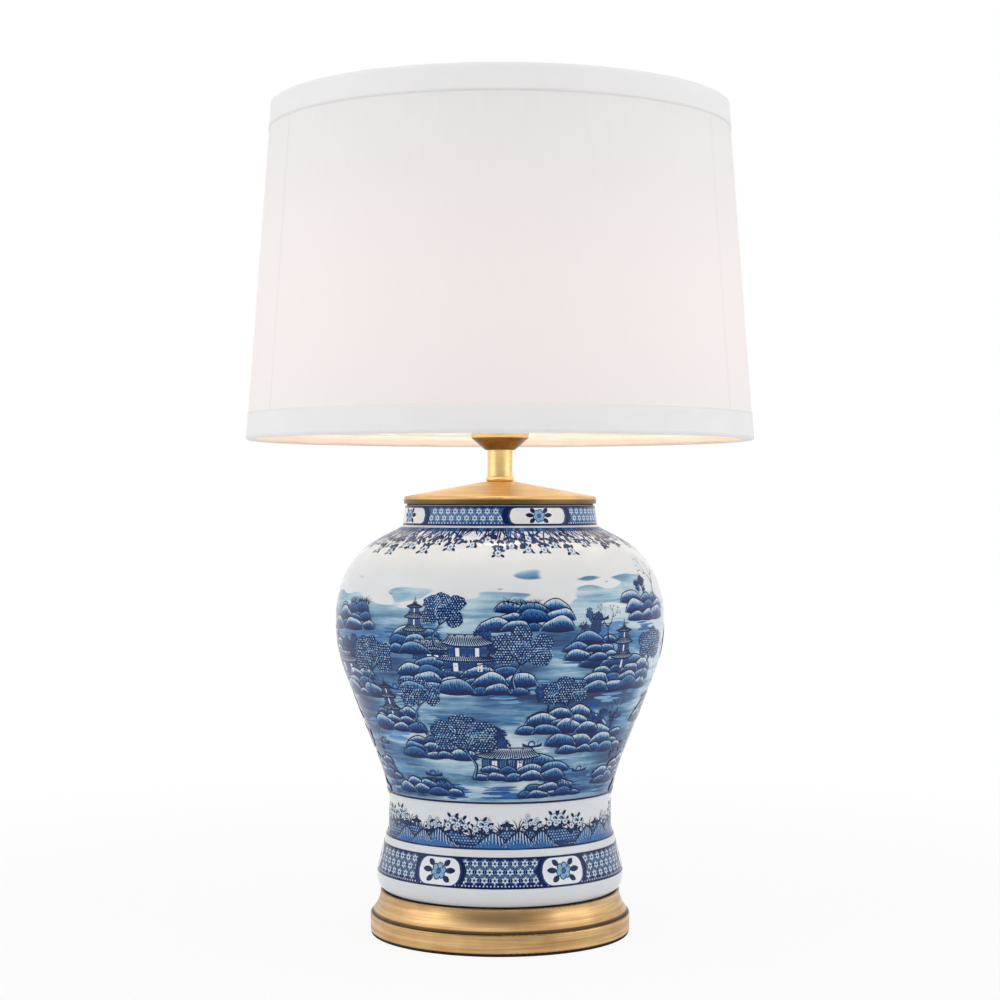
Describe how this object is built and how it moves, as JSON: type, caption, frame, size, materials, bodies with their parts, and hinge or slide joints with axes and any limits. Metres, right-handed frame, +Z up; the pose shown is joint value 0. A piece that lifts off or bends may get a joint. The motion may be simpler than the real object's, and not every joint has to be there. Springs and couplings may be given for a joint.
{
  "type": "table lamp",
  "caption": "Table lamp with a waisted porcelain temple jar painted in blue, a brushed brass foot, cap and neck, a screw lampholder with a turn switch and a tapered white drum shade.",
  "frame": {"origin": "middle of the resting face under the felt pad", "axes": "+Z up along the lamp's axis, -Y to the front, +Y to the cord bush"},
  "size_m": [0.4039, 0.404, 0.6567],
  "materials": {
    "antique_brass": "satin, brushed round the axis",
    "glazed_porcelain": "white glaze with blue underglaze decoration",
    "shade_cloth": "white woven cloth",
    "shade_tape": "white woven tape",
    "shade_liner": "matt cream film",
    "black_felt": "pressed felt",
    "black_rubber": "matt",
    "zinc_steel": "zinc plated",
    "white_wire": "white epoxy coat",
    "cast_cement": "rough cast",
    "black_phenolic": "moulded",
    "white_steatite": "unglazed",
    "contact_brass": "bright",
    "bulb_metal": "rolled thread",
    "bulb_plastic": "white",
    "bulb_insulation": "black",
    "opal_globe": "opal, lit",
    "board_white": "white solder resist"
  },
  "bodies": {
    "lamp": {"base_pad": "black_felt", "base_foot": "antique_brass", "base_weight": "cast_cement", "cord_bush": "black_rubber", "foot_gasket": "black_rubber", "vase": "glazed_porcelain", "cap_gasket": "black_rubber", "vase_cap": "antique_brass", "neck_ring": "antique_brass", "neck_tube": "antique_brass", "socket_cup": "antique_brass", "threaded_rod": "zinc_steel", "lower_washer": "zinc_steel", "lower_nut": "zinc_steel", "upper_nut": "zinc_steel", "holder_base": "black_phenolic", "holder_barrel": "black_phenolic", "holder_block": "white_steatite", "terminal_screws": "contact_brass", "screw_shell": "contact_brass", "centre_contact": "contact_brass", "switch_collar": "contact_brass"},
    "switch": {"switch_spindle": "zinc_steel", "switch_knob": "black_phenolic"},
    "shade_ring": {"shade_ring": "black_phenolic"},
    "shade": {"shade_spider": "white_wire", "lower_wire": "white_wire", "upper_wire": "white_wire", "frame_struts": "white_wire", "shade_lining": "shade_liner", "shade_fabric": "shade_cloth", "lower_trim": "shade_tape", "upper_trim": "shade_tape"},
    "bulb": {"bulb_contact": "bulb_metal", "bulb_insulator": "bulb_insulation", "bulb_screw_cap": "bulb_metal", "bulb_body": "bulb_plastic", "light_board": "board_white", "bulb_globe": "opal_globe"}
  },
  "joints": [
    {"name": "switch_turn", "type": "hinge", "parent": "lamp", "child": "switch", "pos_m": [0.0224, 0, 0.4069], "axis": [1, 0, 0], "continuous": true},
    {"name": "shade_turn", "type": "hinge", "parent": "lamp", "child": "shade", "pos_m": [0, 0, 0.4249], "axis": [0, 0, 1], "continuous": true},
    {"name": "shade_ring_turn", "type": "hinge", "parent": "lamp", "child": "shade_ring", "pos_m": [0, 0, 0.4269], "axis": [0, 0, 1], "continuous": true},
    {"name": "bulb_turn", "type": "hinge", "parent": "lamp", "child": "bulb", "pos_m": [0, 0, 0.4257], "axis": [0, 0, 1], "continuous": true}
  ]
}
